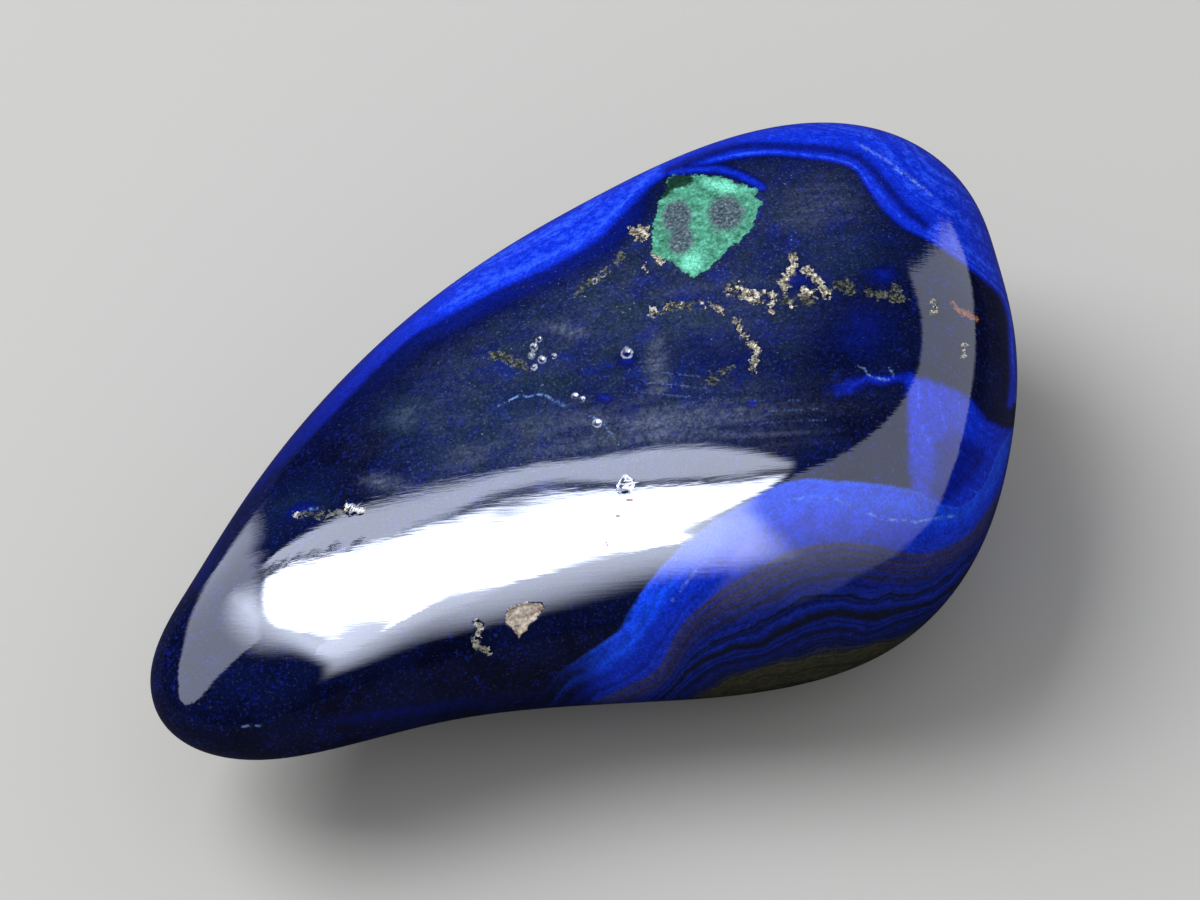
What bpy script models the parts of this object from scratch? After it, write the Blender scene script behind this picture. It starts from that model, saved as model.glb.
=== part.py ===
"""A polished freeform azurite: one stone, a ball pulled out into a thick teardrop.

Metres, +Z up. The narrow tip points to -X and the broad head to +X. The upper face
is broad and almost flat, and a small flat ground into the underside is what the
stone stands on. The origin is on that flat's plane, under the middle of the stone.
"""

import math

import bmesh
import bpy

MM = 0.001

COLLECTION_NAME = "azurite_specimen"
STONE_NAME = "azurite_stone"

# Plan, in millimetres: a plain oval, made wider at the head and bent a little ...
HALF_LENGTH = 25.9
HALF_WIDTH = 13.5
HEAD_SPREAD = 0.35
SWAY = -1.1
# ... whose rim is then pushed out, or drawn in where negative, at even steps of angle:
# from the end of the head round by the far flank, the tip and the near flank.
RIM_PUSH = (-3.7, -0.5, -2.1, -2.8, 0.1, 0.0, -0.5, 1.9, 2.7, -0.9, -0.4, 4.7, -1.7, -4.5)
CORE_Y = -1.0

# Upright section, in millimetres: a superellipse between a back and an underside, both
# of which change height from the tip to the head
FULLNESS = 2.4
TIP_X = -24.9
TIP_BACK_Z = 14.2
TIP_UNDERSIDE_Z = 2.8
HEAD_BACK_X = 22.8
HEAD_BACK_Z = 20.7
BELLY_X = 0.0
BELLY_Z = -0.6

# Upper face: whatever rises past this level is pressed down to a third of its height
TOP_LEVEL = 17.6
TOP_BLEND = 1.2
TOP_CROWN = 0.3

# 5120 triangles over the whole stone
BALL_SUBDIVISIONS = 5

AZURITE_BLUE = (0.012, 0.026, 0.230, 1.0)
POLISH_ROUGHNESS = 0.08
AZURITE_IOR = 1.75


def clear_scene():
    for thing in list(bpy.data.objects):
        bpy.data.objects.remove(thing, do_unlink=True)


def make_collection(name):
    collection = bpy.data.collections.new(name)
    bpy.context.scene.collection.children.link(collection)
    return collection


def azurite_material():
    material = bpy.data.materials.new("azurite")
    material.use_nodes = True
    shader = material.node_tree.nodes["Principled BSDF"]
    shader.inputs["Base Color"].default_value = AZURITE_BLUE
    shader.inputs["Roughness"].default_value = POLISH_ROUGHNESS
    shader.inputs["Metallic"].default_value = 0.0
    shader.inputs["IOR"].default_value = AZURITE_IOR
    material.diffuse_color = AZURITE_BLUE
    return material


def rim_push(angle):
    """The push at an angle round the rim, on a closed cubic B-spline through even steps."""
    count = len(RIM_PUSH)
    place = (angle / (2 * math.pi) * count) % count
    step = int(place)
    t = place - step
    before, here, after, beyond = (RIM_PUSH[(step + k) % count] for k in (-1, 0, 1, 2))
    return (
        before * (1 - t) ** 3
        + here * (3 * t**3 - 6 * t**2 + 4)
        + after * (-3 * t**3 + 3 * t**2 + 3 * t + 1)
        + beyond * t**3
    ) / 6


def smootherstep(t):
    t = min(max(t, 0.0), 1.0)
    return t**3 * (t * (6 * t - 15) + 10)


def blend(start, end, t):
    return start + (end - start) * t


def rim_point(angle):
    """A point of the stone's widest outline, in mm."""
    along = math.cos(angle)
    across = math.sin(angle)
    normal_x = along / HALF_LENGTH
    normal_y = across / HALF_WIDTH
    push = rim_push(angle) / math.hypot(normal_x, normal_y)
    x = HALF_LENGTH * along + push * normal_x
    y = HALF_WIDTH * across * (1 + HEAD_SPREAD * along) + SWAY * along**2 + push * normal_y
    return x, y


def press_top(z):
    """Presses what rises past the top level down to a low crown, with a soft edge."""
    above = (z - TOP_LEVEL) / TOP_BLEND
    excess = TOP_BLEND * (max(above, 0.0) + math.log1p(math.exp(-abs(above))))
    return z - (1 - TOP_CROWN) * excess


def stone_point(direction):
    """Where a point of the unit ball goes on the stone, in mm."""
    level = math.hypot(direction.x, direction.y)
    size = (level**FULLNESS + abs(direction.z) ** FULLNESS) ** (-1 / FULLNESS)
    rim_x, rim_y = rim_point(math.atan2(direction.y, direction.x))
    x = blend(0.0, rim_x, level * size)
    y = blend(CORE_Y, rim_y, level * size)

    rise = smootherstep((x - TIP_X) / (HEAD_BACK_X - TIP_X))
    fall = smootherstep((x - TIP_X) / (BELLY_X - TIP_X))
    back = blend(TIP_BACK_Z, HEAD_BACK_Z, rise)
    underside = blend(TIP_UNDERSIDE_Z, BELLY_Z, fall)
    middle = (back + underside) / 2
    half_height = (back - underside) / 2
    return x, y, press_top(middle + half_height * direction.z * size)


def grind_foot(mesh):
    """Cuts the underside off flat at z = 0 and closes the cut with one face."""
    geometry = mesh.verts[:] + mesh.edges[:] + mesh.faces[:]
    cut = bmesh.ops.bisect_plane(
        mesh, geom=geometry, plane_co=(0, 0, 0), plane_no=(0, 0, 1), dist=1e-7, clear_inner=True
    )
    rim = [part for part in cut["geom_cut"] if isinstance(part, bmesh.types.BMEdge)]
    bmesh.ops.contextual_create(mesh, geom=rim)


def centre_over_origin(mesh):
    for axis in (0, 1):
        places = [vert.co[axis] for vert in mesh.verts]
        middle = (min(places) + max(places)) / 2
        for vert in mesh.verts:
            vert.co[axis] -= middle


def make_stone(collection):
    mesh = bmesh.new()
    bmesh.ops.create_icosphere(mesh, subdivisions=BALL_SUBDIVISIONS, radius=1.0)
    for vert in mesh.verts:
        vert.co = [value * MM for value in stone_point(vert.co.normalized())]
    grind_foot(mesh)
    centre_over_origin(mesh)
    bmesh.ops.recalc_face_normals(mesh, faces=mesh.faces)

    data = bpy.data.meshes.new(STONE_NAME)
    mesh.to_mesh(data)
    mesh.free()
    data.shade_smooth()
    data.set_sharp_from_angle(angle=math.radians(30))
    data.materials.append(azurite_material())

    stone = bpy.data.objects.new(STONE_NAME, data)
    collection.objects.link(stone)
    return stone


def main():
    clear_scene()
    make_stone(make_collection(COLLECTION_NAME))


main()
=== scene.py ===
"""Looks of the polished azurite: one stone, the minerals that show in it, light and camera.

Metres, +Z up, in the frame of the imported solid. The stone is drawn again here as a finer
mesh of the same form, with its small pits sunk into it. Its colours are drawn where they
lie in the main view, as a maker would trace them, and run into the stone along that view.
"""

import math

import bmesh
import bpy
import numpy as np
from mathutils import Matrix, Vector
from mathutils.bvhtree import BVHTree
from mathutils.interpolate import poly_3d_calc


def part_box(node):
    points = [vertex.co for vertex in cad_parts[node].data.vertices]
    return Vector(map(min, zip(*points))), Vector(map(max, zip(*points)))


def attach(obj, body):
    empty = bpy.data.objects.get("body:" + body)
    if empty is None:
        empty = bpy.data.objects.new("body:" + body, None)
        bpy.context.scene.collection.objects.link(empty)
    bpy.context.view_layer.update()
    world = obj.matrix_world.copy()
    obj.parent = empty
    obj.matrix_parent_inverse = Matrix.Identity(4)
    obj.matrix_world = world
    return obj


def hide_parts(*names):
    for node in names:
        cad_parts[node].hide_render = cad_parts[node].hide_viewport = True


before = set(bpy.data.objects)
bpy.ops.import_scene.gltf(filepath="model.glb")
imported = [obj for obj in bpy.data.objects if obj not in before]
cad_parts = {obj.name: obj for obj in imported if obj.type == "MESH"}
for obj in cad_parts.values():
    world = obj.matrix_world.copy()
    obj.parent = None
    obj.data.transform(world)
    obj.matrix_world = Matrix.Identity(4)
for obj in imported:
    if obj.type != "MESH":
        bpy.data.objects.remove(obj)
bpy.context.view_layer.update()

MM = 0.001
STONE_NODE = "azurite_stone"

# ---------------------------------------------------------------------------
# The main view: a picture 1200 pixels wide and 900 high
# ---------------------------------------------------------------------------

PICTURE_WIDTH = 1200
PICTURE_HEIGHT = 900
SENSOR_WIDTH_MM = 36.0
LENS_MM = 120.39
CAMERA_AZIMUTH = math.radians(-32.38)
CAMERA_ELEVATION = math.radians(52.0)
CAMERA_PLACE = Vector((-66.18, -105.41, 169.65)) * MM
# How far the picture's middle lies from the line of sight above, in pixels
AIM_RIGHT_PX = 16.3
AIM_DOWN_PX = 24.1
# Scale of the picture at the stone
PIXELS_PER_MM = 19.35
CLIP_NEAR = 0.005
CLIP_FAR = 20.0

# ---------------------------------------------------------------------------
# The stone's form, in millimetres, as the solid has it
# ---------------------------------------------------------------------------

HALF_LENGTH = 25.9
HALF_WIDTH = 13.5
HEAD_SPREAD = 0.35
SWAY = -1.1
RIM_PUSH = (-3.7, -0.5, -2.1, -2.8, 0.1, 0.0, -0.5, 1.9, 2.7, -0.9, -0.4, 4.7, -1.7, -4.5)
CORE_Y = -1.0
FULLNESS = 2.4
TIP_X = -24.9
TIP_BACK_Z = 14.2
TIP_UNDERSIDE_Z = 2.8
HEAD_BACK_X = 22.8
HEAD_BACK_Z = 20.7
BELLY_X = 0.0
BELLY_Z = -0.6
TOP_LEVEL = 17.6
TOP_BLEND = 1.2
TOP_CROWN = 0.3

# Gentle swells left by hand polishing: middle, radii and turn in the main view, height in mm
SWELLS = (
    ((600, 470), (110, 26), -5, 0.08), ((765, 508), (50, 26), 10, 0.10),
    ((315, 655), (40, 26), 30, 0.10), ((268, 690), (90, 26), 20, -0.04),
    ((470, 470), (90, 30), -15, -0.04),
)

# 81,920 triangles over the stone, split further near small marks
BALL_SUBDIVISIONS = 7
FINE_REACH_PX = 3.5
FINE_MARGIN_PX = 1.5
FINE_PASSES = 2
# Half width of the thin bright lines of the rim
RIM_LINE_REACH_PX = 3
# Only what turns towards the main view by at least this much gets pits and swells
LEAST_FACING = 0.05
SHARP_EDGE = math.radians(50)
# Depth of the small hollows below the polish, in mm
RING_PIT_DEPTH = 0.10
DROPLET_DEPTH = 0.08
CHIP_DEPTH = 0.06
CREAM_DEPTH = 0.05
MALACHITE_DEPTH = 0.03
# Over how many pixels a hollow gets to its depth
HOLLOW_WALL_PX = 4
CREAM_WALL_PX = 3

# ---------------------------------------------------------------------------
# Marks, each traced in the main view in pixels
# ---------------------------------------------------------------------------

# Inner edge of the bright blue along the far rim, from the tip to the head. The far rim's
# brightness is partly the stone's own blue and partly painted light where it faces the light from behind
FAR_RIM_EDGE = (
    (205, 590), (225, 545), (243, 512), (300, 452), (400, 350), (450, 318), (500, 292),
    (556, 266), (600, 240), (634, 205), (655, 184), (690, 165), (717, 158),
)
# The bright line round the head, and where it goes on down the right edge
HEAD_RIM_LINE = (
    (690, 165), (717, 159), (742, 154), (773, 152), (806, 155), (839, 160), (857, 168),
    (870, 187), (885, 207), (905, 225), (923, 234), (946, 248), (967, 263), (987, 279),
    (1002, 294), (1010, 317), (1012, 345), (1013, 380), (1010, 405),
)
HEAD_RIM_SHADOW = (
    (668, 171), (700, 157), (742, 146), (793, 147), (844, 152), (868, 165), (887, 187), (905, 208),
    (925, 224),
)
# How bright the rim is from left to right: place across the picture, brightness
RIM_GLOW = ((200, 0.20), (290, 0.32), (380, 0.62), (460, 1.0))
# Across the picture, where the rim's band narrows for the head, and where the line starts
HEAD_STARTS = (620, 690)
HEAD_LINE_STARTS = (655, 725)
# The blue band along the rim and round the head: strength, how far inside its edge it
# starts and how wide it comes in, and a fainter blush that reaches further in
RIM_BAND = (0.90, 7, 17)
HEAD_BAND = (0.86, 3, 8)
RIM_BLUSH = 0.34
RIM_BLUSH_EDGES = (-42, 8)
# Strength and reach of soft lines
RIM_SHADOW_LOOK = (0.62, 9)
RIM_LINE_LOOK = (0.88, 7)
MALACHITE_LINE_LOOK = (0.70, 8)
TONGUE_LOOK = (0.6, 9)
PALE_STREAK = ((862, 146), (880, 156), (900, 170), (917, 183), (932, 195))
LINE_OVER_MALACHITE = ((672, 173), (686, 170), (717, 169), (742, 176), (762, 187))

# Blue corner at the right, and the dark wedge inside it
CORNER_BLUE = (
    (905, 374), (925, 377), (954, 387), (972, 397), (988, 419), (1005, 427), (1040, 430),
    (1040, 560), (960, 560), (930, 520), (912, 494), (907, 470), (906, 430),
)
CORNER_WEDGE = (
    (934, 440), (952, 428), (974, 441), (988, 450), (982, 470), (966, 490), (946, 504),
    (929, 497), (931, 470),
)
CORNER_STRENGTH = 0.80
CORNER_EDGES = (-3, 6)
WEDGE_STRENGTH = 0.42
WEDGE_EDGES = (-5, 9)
BLUE_TONGUE = ((838, 392), (855, 384), (868, 379), (885, 380), (911, 376))

# Where the fan's left end breaks up into streaks, across the picture
FAN_BROKEN = (520, 640)
FAN_CALM = (660, 760)
# Growth layers of the fan, from its outer edge inwards, as lines that never cross
FAN_LAYERS = (
    (
        (520, 706), (546, 684), (572, 663), (605, 641), (618, 631), (632, 606), (661, 567),
        (699, 532), (738, 507), (789, 481), (840, 481), (880, 484), (916, 491), (943, 505),
        (964, 506), (985, 484), (1000, 450), (1030, 400),
    ),
    (
        (590, 712), (630, 695), (660, 680), (674, 661), (690, 631), (718, 606), (744, 590),
        (770, 574), (801, 561), (836, 553), (872, 556), (892, 562), (919, 564), (935, 560),
        (952, 553), (975, 535), (995, 505), (1040, 440),
    ),
    (
        (620, 722), (660, 700), (690, 668), (731, 648), (763, 643), (795, 623), (811, 616),
        (843, 612), (859, 617), (878, 618), (897, 612), (939, 598), (962, 577), (985, 548),
        (1045, 480),
    ),
    (
        (650, 730), (700, 700), (730, 680), (760, 670), (800, 661), (840, 655), (880, 646),
        (920, 630), (960, 600), (1000, 560), (1060, 500),
    ),
)
FAN_HULL = ((1300, 400), (1300, 1100), (520, 1100))
# Width of a layer outside the first line and inside the last one
OUTER_LAYER_PX = 40.0

MALACHITE = (
    (666, 181), (673, 175), (698, 175), (721, 177), (738, 183), (758, 189), (756, 197),
    (763, 204), (758, 209), (753, 226), (741, 240), (730, 247), (716, 261), (707, 270),
    (693, 278), (683, 272), (673, 262), (661, 256), (651, 253), (652, 240), (653, 226),
    (657, 212), (659, 201), (666, 190),
)
# Each oval is its middle, its two radii and its turn in degrees
MALACHITE_EYES = (((677, 217), (16, 18), 10), ((726, 213), (19, 19), 0), ((681, 240), (13, 15), 20))
MALACHITE_BRIGHT = (((692, 262), (17, 16), 0), ((724, 186), (30, 9), 12), ((680, 186), (12, 5), -25))
# Painted shade at the upper left of the malachite's shallow hollow, under the rim
MALACHITE_PAINTED_SHADE = (((680, 181), (16, 8), -12), ((664, 190), (7, 9), 10))

# Marks of cream and olive matrix: a chain of points and its half width
CREAM_MARKS = (
    (((728, 290), (730, 286), (737, 286), (743, 290), (749, 295), (757, 299)), 2.2),
    (((729, 292), (736, 297), (744, 298), (752, 300), (761, 302)), 1.8),
    (((748, 294), (753, 293), (758, 298)), 3.0),
    (((767, 293), (771, 293), (774, 298), (773, 304)), 2.6),
    (((792, 259), (794, 263), (789, 271), (785, 279), (783, 286)), 3.2),
    (((783, 285), (784, 287)), 5.0),
    (((796, 258), (796, 266)), 1.6),
    (((809, 270), (812, 276), (818, 281), (823, 287), (827, 294)), 3.8),
    (((803, 272), (808, 270)), 2.5),
    (((803, 290), (808, 295), (811, 293)), 4.0),
    (((829, 290), (830, 297)), 1.8),
    (((653, 312), (655, 311)), 3.4),
    (((663, 309), (667, 304), (673, 303), (679, 304), (686, 301), (694, 300), (701, 300)), 1.1),
    (((701, 300), (704, 305)), 1.2),
    (((709, 303), (715, 307), (721, 311)), 1.8),
    (((770, 311), (773, 313)), 2.0),
    (((789, 304), (791, 305)), 2.2),
    (((736, 321), (738, 330), (742, 334)), 1.8),
    (((748, 341), (754, 346), (756, 353), (755, 362), (753, 369)), 2.2),
    (((753, 346), (757, 350)), 3.4),
    (((641, 231), (644, 233)), 6.0),
    (((634, 230), (638, 238)), 3.0),
    (((655, 256), (661, 260)), 3.2),
    (((644, 267), (646, 268)), 1.5),
    (((350, 506), (354, 510), (362, 512)), 1.7),
    (((346, 507), (352, 513)), 2.0),
    (((296, 513), (300, 514)), 1.2),
    (((476, 622), (481, 626), (478, 632), (474, 637), (476, 643), (482, 648), (487, 652)), 2.4),
    (((739, 322), (740, 323)), 1.6),
    (((932, 301), (936, 304), (934, 307)), 1.2),
    (((931, 312), (936, 312)), 1.3),
    (((964, 345), (964, 356)), 0.9),
)
OLIVE_MARKS = (
    (((668, 308), (676, 307), (684, 307), (694, 305)), 3.4),
    (((838, 286), (845, 285), (850, 289)), 5.5),
    (((870, 293), (882, 295), (895, 298), (903, 300)), 4.0),
    (((893, 287), (899, 290)), 3.0),
    (((800, 300), (812, 302)), 3.4),
    (((784, 300), (792, 303)), 2.6),
    (((494, 355), (508, 360), (523, 366)), 3.6),
    (((493, 354), (496, 355)), 4.6),
    (((708, 378), (713, 375), (716, 380), (711, 383)), 1.8),
    (((720, 371), (727, 369), (734, 366)), 1.6),
    (((622, 255), (618, 260)), 3.0),
    (((614, 265), (602, 274), (595, 280), (587, 284), (576, 293)), 1.9),
    (((302, 514), (318, 515), (331, 514), (342, 513)), 2.4),
)
CHIP = (
    (506, 613), (512, 606), (526, 602), (541, 602), (543, 609), (537, 619), (530, 625),
    (523, 632), (519, 637), (515, 631), (506, 623),
)
# Where a vein has faded out, in its half widths
VEIN_REACH = 1.3
# Thin pale veins, and across the middle of the face parallel lines of painted sheen where
# light catches polishing scratches: a chain of points, half width and strength
PALE_VEINS_AND_SCRATCH_SHEEN = (
    (
        ((498, 406), (506, 402), (514, 398), (520, 395), (528, 397), (537, 394), (547, 396), (553, 400)),
        1.0, 0.60,
    ),
    (((590, 416), (600, 420), (608, 430), (616, 438)), 1.0, 0.35),
    (((859, 366), (864, 368), (868, 374)), 0.8, 0.5),
    (((889, 368), (893, 374), (894, 378)), 0.8, 0.6),
    (((868, 375), (876, 378), (888, 380)), 1.0, 0.6),
    (((790, 500), (812, 497), (836, 499), (850, 506)), 1.6, 0.18),
    (((868, 513), (883, 519), (897, 520), (916, 522), (930, 519), (944, 517), (955, 516)), 1.6, 0.5),
    (((706, 561), (698, 568), (690, 578), (680, 590), (671, 602)), 1.6, 0.35),
    (((310, 509), (322, 508)), 1.6, 0.4),
    (((556, 401), (570, 409)), 1.8, 0.3),
    (((242, 727), (251, 725), (260, 726)), 1.4, 0.45),
    (((638, 371), (668, 373), (702, 377)), 0.6, 0.22),
    (((646, 383), (676, 385), (708, 389)), 0.6, 0.26),
    (((640, 392), (690, 397)), 0.5, 0.18),
    (((706, 404), (752, 401), (800, 400)), 0.5, 0.16),
    (((720, 416), (768, 411), (822, 409)), 0.6, 0.22),
    (((742, 425), (786, 421), (826, 420)), 0.5, 0.18),
    (PALE_STREAK, 2.2, 0.30),
    (((895, 168), (906, 176), (919, 185)), 1.8, 0.55),
)
ORANGE_STREAK = (((954, 305), (961, 311), (968, 315), (977, 319)), 2.2)
RUST_SPECKS = (
    (((627, 500), (632, 500)), 1.2),
    (((616, 516), (620, 516)), 1.1),
    (((606, 542), (608, 547)), 1.1),
)
# Small round pits: middle, radius of the rim, width of the rim
PIT_RINGS = (
    ((627, 353), 5.0, 1.4), ((539, 339), 2.8, 0.9), ((534, 347), 3.4, 1.1), ((531, 356), 2.4, 2.0),
    ((542, 360), 3.8, 1.3), ((554, 356), 2.6, 0.8), ((534, 367), 2.4, 1.6), ((575, 396), 3.0, 0.9),
    ((582, 399), 2.4, 0.8), ((597, 423), 4.0, 1.2), ((602, 274), 3.2, 0.8), ((595, 281), 2.6, 0.8),
)
# How much of a rim's width counts on either side of it
RING_SHARE = 0.75
DROPLET_RIM_PX = 1.0
DROPLET = ((625, 474), (631, 480), (633, 487), (629, 494), (621, 494), (618, 487), (621, 480))

# Where a soft oval has faded out: 1 is its edge
OVAL_REACH = 1.25
# The open middle of the dark face, which shows lighter: middle, radii and turn
TOP_FACE = ((640, 345), (280, 118), -33)
CLEAR_FACE = ((850, 335), (85, 70), 5)
# Faint smears of dust, and painted reflections of light in the polish beside the highlight
# and over the head: middle, radii, turn, strength
DUST_SMEARS_AND_REFLECTIONS = (
    ((405, 418), (20, 16), 0, 0.40), ((385, 484), (26, 11), 10, 0.75), ((565, 330), (40, 9), 12, 0.50),
    ((470, 455), (40, 16), -15, 0.30), ((655, 428), (8, 26), -8, 1.0), ((657, 368), (14, 40), 0, 0.66),
    ((815, 205), (60, 40), -10, 0.26), ((745, 430), (90, 24), -4, 0.40), ((590, 320), (110, 60), -25, 0.12),
    ((700, 300), (150, 60), 0, 0.15), ((450, 400), (120, 60), -38, 0.09), ((640, 425), (190, 34), -6, 0.46),
)
# Greenish dust in the dark face: middle, radii, turn, strength
GREEN_DUST = (
    ((858, 262), (36, 16), -10, 0.25), ((405, 418), (30, 24), 0, 0.65), ((300, 506), (36, 14), -8, 0.5),
    ((500, 420), (90, 40), -25, 0.35), ((690, 318), (80, 18), 0, 0.4), ((610, 330), (80, 50), -20, 0.22),
)
# Blue patches in the dark face: middle, radii, turn, strength
BLUE_PATCHES = (
    ((850, 386), (30, 12), -14, 0.52), ((862, 330), (56, 52), 0, 0.26), ((606, 400), (14, 7), 35, 0.42),
    ((752, 404), (8, 7), 0, 0.5), ((675, 389), (7, 6), 0, 0.42), ((640, 296), (6, 6), 0, 0.45),
    ((588, 579), (4, 3), 0, 0.8), ((627, 360), (16, 13), 0, 0.36), ((720, 360), (90, 60), 10, 0.16),
    ((300, 510), (30, 14), -20, 0.30), ((883, 275), (26, 16), 0, 0.34), ((795, 280), (30, 22), 0, 0.30),
    ((240, 690), (34, 18), -15, 0.10), ((400, 712), (170, 12), -8, 0.24), ((640, 560), (14, 26), 30, 0.1),
    ((620, 410), (100, 40), 0, 0.14), ((760, 425), (60, 22), 0, 0.16), ((560, 330), (50, 40), 0, 0.12),
)


# ---------------------------------------------------------------------------
# Small helpers
# ---------------------------------------------------------------------------


def blend(start, end, t):
    return start + (end - start) * t


def smootherstep(t):
    t = np.clip(t, 0.0, 1.0)
    return t**3 * (t * (6 * t - 15) + 10)


def rise(value, start, end):
    """0 up to the start, 1 from the end on, and smooth between them."""
    return smootherstep((value - start) / (end - start))


def smooth_path(points, steps=6, closed=False):
    """A smooth line through the points (Catmull-Rom)."""
    points = np.array(points, float)
    if closed:
        ring = np.vstack([points[-1:], points, points[:2]])
    else:
        ring = np.vstack([2 * points[0] - points[1], points, 2 * points[-1] - points[-2]])
    t = np.linspace(0, 1, steps, endpoint=False)[:, None]
    line = []
    for a, b, c, d in zip(ring, ring[1:], ring[2:], ring[3:]):
        line.append(
            0.5 * (2 * b + (c - a) * t + (2 * a - 5 * b + 4 * c - d) * t**2
                   + (3 * b - a - 3 * c + d) * t**3)
        )
    if not closed:
        line.append(points[-1:])
    return np.vstack(line)


def path_distance(places, path, closed=False):
    """Distance from each place to a chain of straight pieces, in pixels."""
    path = np.array(path, float)
    ends = np.roll(path, -1, axis=0) if closed else path[1:]
    starts = path if closed else path[:-1]
    nearest = np.full(len(places), np.inf)
    for a, b in zip(starts, ends):
        run = b - a
        t = np.clip((places - a) @ run / max(run @ run, 1e-9), 0, 1)
        nearest = np.minimum(nearest, np.linalg.norm(places - a - t[:, None] * run, axis=1))
    return nearest


def inside(places, outline):
    """Whether each place lies inside a closed outline."""
    outline = np.array(outline, float)
    result = np.zeros(len(places), bool)
    for (x0, y0), (x1, y1) in zip(outline, np.roll(outline, -1, axis=0)):
        if y0 == y1:
            continue
        crosses = (y0 > places[:, 1]) != (y1 > places[:, 1])
        result ^= crosses & (places[:, 0] < (x1 - x0) * (places[:, 1] - y0) / (y1 - y0) + x0)
    return result


def patch_depth(places, outline):
    """How far inside a closed outline each place is, in pixels; negative outside."""
    distance = path_distance(places, outline, closed=True)
    return np.where(inside(places, outline), distance, -distance)


def oval(places, middle, radii, turn=0.0):
    """0 in the middle of an oval, 1 on its edge."""
    angle = math.radians(turn)
    away = places - np.array(middle, float)
    along = (away[:, 0] * math.cos(angle) + away[:, 1] * math.sin(angle)) / radii[0]
    across = (away[:, 1] * math.cos(angle) - away[:, 0] * math.sin(angle)) / radii[1]
    return np.hypot(along, across)


def soft(distance, reach):
    """1 at no distance, falling as a bell to nearly nothing at the reach."""
    return np.exp(-3.0 * (distance / reach) ** 2)


# What a place far from every mark gets, in pixels and in mm
FAR_OUTSIDE_PX = -40.0
FAR_OUTSIDE_MM = -2.0


def marks_depth(places, marks):
    """How far inside the nearest of several thick lines each place is, in pixels."""
    depth = np.full(len(places), FAR_OUTSIDE_PX)
    for path, half_width in marks:
        depth = np.maximum(depth, half_width - path_distance(places, path))
    return depth


def pit_rings(places):
    """For each round pit: how far places are from its middle, its radius and its rim's width."""
    for middle, radius, width in PIT_RINGS:
        yield np.linalg.norm(places - np.array(middle), axis=1), radius, width


# ---------------------------------------------------------------------------
# Camera
# ---------------------------------------------------------------------------


def view_axes():
    """Right, up and back of the line of sight."""
    back = Vector((
        math.sin(CAMERA_AZIMUTH) * math.cos(CAMERA_ELEVATION),
        -math.cos(CAMERA_AZIMUTH) * math.cos(CAMERA_ELEVATION),
        math.sin(CAMERA_ELEVATION),
    ))
    right = Vector((math.cos(CAMERA_AZIMUTH), math.sin(CAMERA_AZIMUTH), 0.0))
    return right, back.cross(right), back


def focal_pixels():
    return LENS_MM / SENSOR_WIDTH_MM * PICTURE_WIDTH


def make_camera():
    right, up, back = view_axes()
    ahead = -back - right * (AIM_RIGHT_PX / focal_pixels()) + up * (AIM_DOWN_PX / focal_pixels())
    behind = -ahead.normalized()
    side = up.cross(behind).normalized()
    data = bpy.data.cameras.new("camera")
    data.sensor_width = SENSOR_WIDTH_MM
    data.lens = LENS_MM
    data.clip_start = CLIP_NEAR
    data.clip_end = CLIP_FAR
    camera = bpy.data.objects.new("camera", data)
    bpy.context.scene.collection.objects.link(camera)
    turn = Matrix((side, behind.cross(side), behind)).transposed()
    camera.matrix_world = Matrix.Translation(CAMERA_PLACE) @ turn.to_4x4()
    bpy.context.scene.camera = camera


def picture_places(points):
    """Where points, in metres, show in the main view, in pixels."""
    right, up, back = (np.array(axis) for axis in view_axes())
    away = points - np.array(CAMERA_PLACE)
    depth = -(away @ back)
    x = PICTURE_WIDTH / 2 + AIM_RIGHT_PX + focal_pixels() * (away @ right) / depth
    y = PICTURE_HEIGHT / 2 + AIM_DOWN_PX - focal_pixels() * (away @ up) / depth
    return np.stack([x, y], axis=1)


# ---------------------------------------------------------------------------
# The stone's mesh
# ---------------------------------------------------------------------------


def rim_push(angle):
    """The push at each angle round the rim, on a closed cubic B-spline through even steps."""
    pushes = np.array(RIM_PUSH)
    count = len(pushes)
    place = (angle / (2 * math.pi) * count) % count
    step = np.floor(place).astype(int) % count
    t = place - np.floor(place)
    before, here, after, beyond = (pushes[(step + k) % count] for k in (-1, 0, 1, 2))
    return (
        before * (1 - t) ** 3
        + here * (3 * t**3 - 6 * t**2 + 4)
        + after * (-3 * t**3 + 3 * t**2 + 3 * t + 1)
        + beyond * t**3
    ) / 6


def stone_points(directions):
    """Where points of the unit ball go on the stone, in mm, before it is centred."""
    level = np.hypot(directions[:, 0], directions[:, 1])
    height = directions[:, 2]
    size = (level**FULLNESS + np.abs(height) ** FULLNESS) ** (-1 / FULLNESS)
    angle = np.arctan2(directions[:, 1], directions[:, 0])
    along, across = np.cos(angle), np.sin(angle)
    normal_x, normal_y = along / HALF_LENGTH, across / HALF_WIDTH
    push = rim_push(angle) / np.hypot(normal_x, normal_y)
    rim_x = HALF_LENGTH * along + push * normal_x
    rim_y = HALF_WIDTH * across * (1 + HEAD_SPREAD * along) + SWAY * along**2 + push * normal_y
    x = rim_x * level * size
    y = blend(CORE_Y, rim_y, level * size)

    back = blend(TIP_BACK_Z, HEAD_BACK_Z, rise(x, TIP_X, HEAD_BACK_X))
    underside = blend(TIP_UNDERSIDE_Z, BELLY_Z, rise(x, TIP_X, BELLY_X))
    z = (back + underside) / 2 + (back - underside) / 2 * height * size
    z -= (1 - TOP_CROWN) * TOP_BLEND * np.logaddexp(0, (z - TOP_LEVEL) / TOP_BLEND)
    return np.stack([x, y, z], axis=1)


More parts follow.
